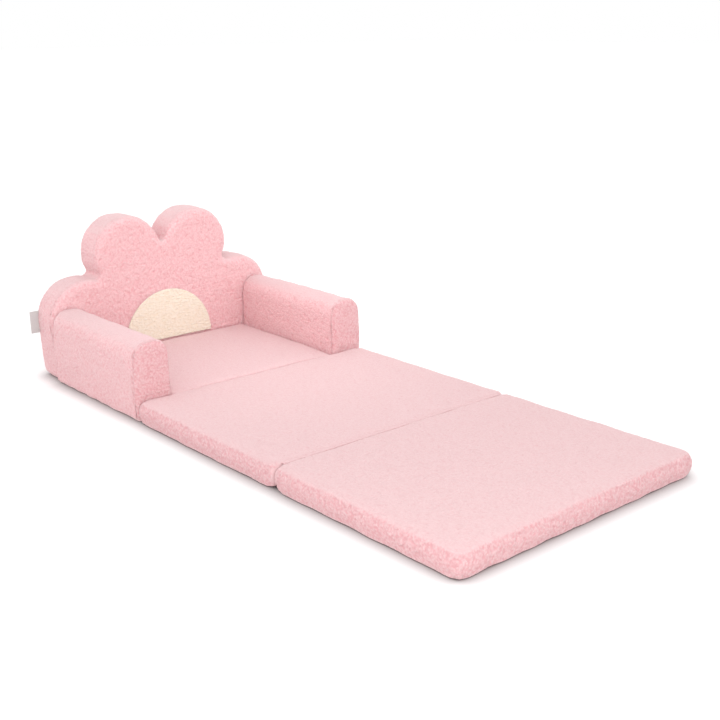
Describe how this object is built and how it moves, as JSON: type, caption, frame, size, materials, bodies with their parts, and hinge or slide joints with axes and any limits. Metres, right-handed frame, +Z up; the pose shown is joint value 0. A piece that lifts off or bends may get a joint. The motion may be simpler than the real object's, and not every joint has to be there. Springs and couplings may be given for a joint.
{
  "type": "kids flip open sofa",
  "caption": "Low foam sofa for a child with a flower-shaped back, two armrests and a seat that flips open to a long lounger of two folding mats.",
  "frame": {"origin": "middle of the seat's underside, on the floor", "axes": "+Z up, +Y from the fold-out mats towards the back, +X to the right seen from the front"},
  "size_m": [0.722, 1.5895, 0.4183],
  "materials": {
    "pink_fleece": "short curly teddy fleece in blush pink",
    "cream_fleece": "short curly teddy fleece in cream",
    "base_cloth": "plain woven base cloth in pink",
    "foam": "open-cell upholstery foam",
    "zip_tape": "woven zip tape with a nylon coil",
    "zip_slider": "painted flat slider without a pull",
    "label_tape": "woven label tape, bare"
  },
  "bodies": {
    "end_mat": {"end_mat_foam_core": "foam", "end_mat_cover": "pink_fleece", "end_mat_underside_cloth": "base_cloth", "end_mat_zip_tape": "zip_tape", "mat_hinge_cloth": "pink_fleece"},
    "middle_mat": {"middle_mat_foam_core": "foam", "middle_mat_cover": "pink_fleece", "middle_mat_underside_cloth": "base_cloth", "middle_mat_zip_tape": "zip_tape", "front_hinge_cloth": "base_cloth"},
    "sofa_unit": {"back_foam_core": "foam", "back_cover_front_panel": "pink_fleece", "back_cover_side_band": "pink_fleece", "back_cover_rear_panel": "pink_fleece", "back_centre_disc": "cream_fleece", "side_label": "label_tape", "left_arm_foam_core": "foam", "left_arm_cover_sleeve": "pink_fleece", "left_arm_front_cap": "pink_fleece", "right_arm_foam_core": "foam", "right_arm_cover_sleeve": "pink_fleece", "right_arm_front_cap": "pink_fleece", "seat_foam_core": "foam", "seat_cover": "pink_fleece", "seat_underside_cloth": "base_cloth", "seat_zip_tape": "zip_tape"},
    "end_mat_slider": {"end_mat_zip_slider": "zip_slider"},
    "middle_mat_slider": {"middle_mat_zip_slider": "zip_slider"},
    "seat_slider": {"seat_zip_slider": "zip_slider"}
  },
  "joints": [
    {"name": "mat_fold", "type": "hinge", "parent": "end_mat", "child": "middle_mat", "pos_m": [0, -0.7469, 0.05815], "axis": [1, 0, 0], "range_deg": [0, 180], "deforming": ["mat_hinge_cloth"]},
    {"name": "front_fold", "type": "hinge", "parent": "middle_mat", "child": "sofa_unit", "pos_m": [0, -0.2123, -0.00015], "axis": [-1, 0, 0], "range_deg": [0, 180], "deforming": ["front_hinge_cloth"]},
    {"name": "seat_zip", "type": "slide", "parent": "sofa_unit", "child": "seat_slider", "axis": [-1, 0, 0], "range_m": [0, 0.367]},
    {"name": "middle_mat_zip", "type": "slide", "parent": "middle_mat", "child": "middle_mat_slider", "axis": [-1, 0, 0], "range_m": [0, 0.468]},
    {"name": "end_mat_zip", "type": "slide", "parent": "end_mat", "child": "end_mat_slider", "axis": [-1, 0, 0], "range_m": [0, 0.468]}
  ]
}
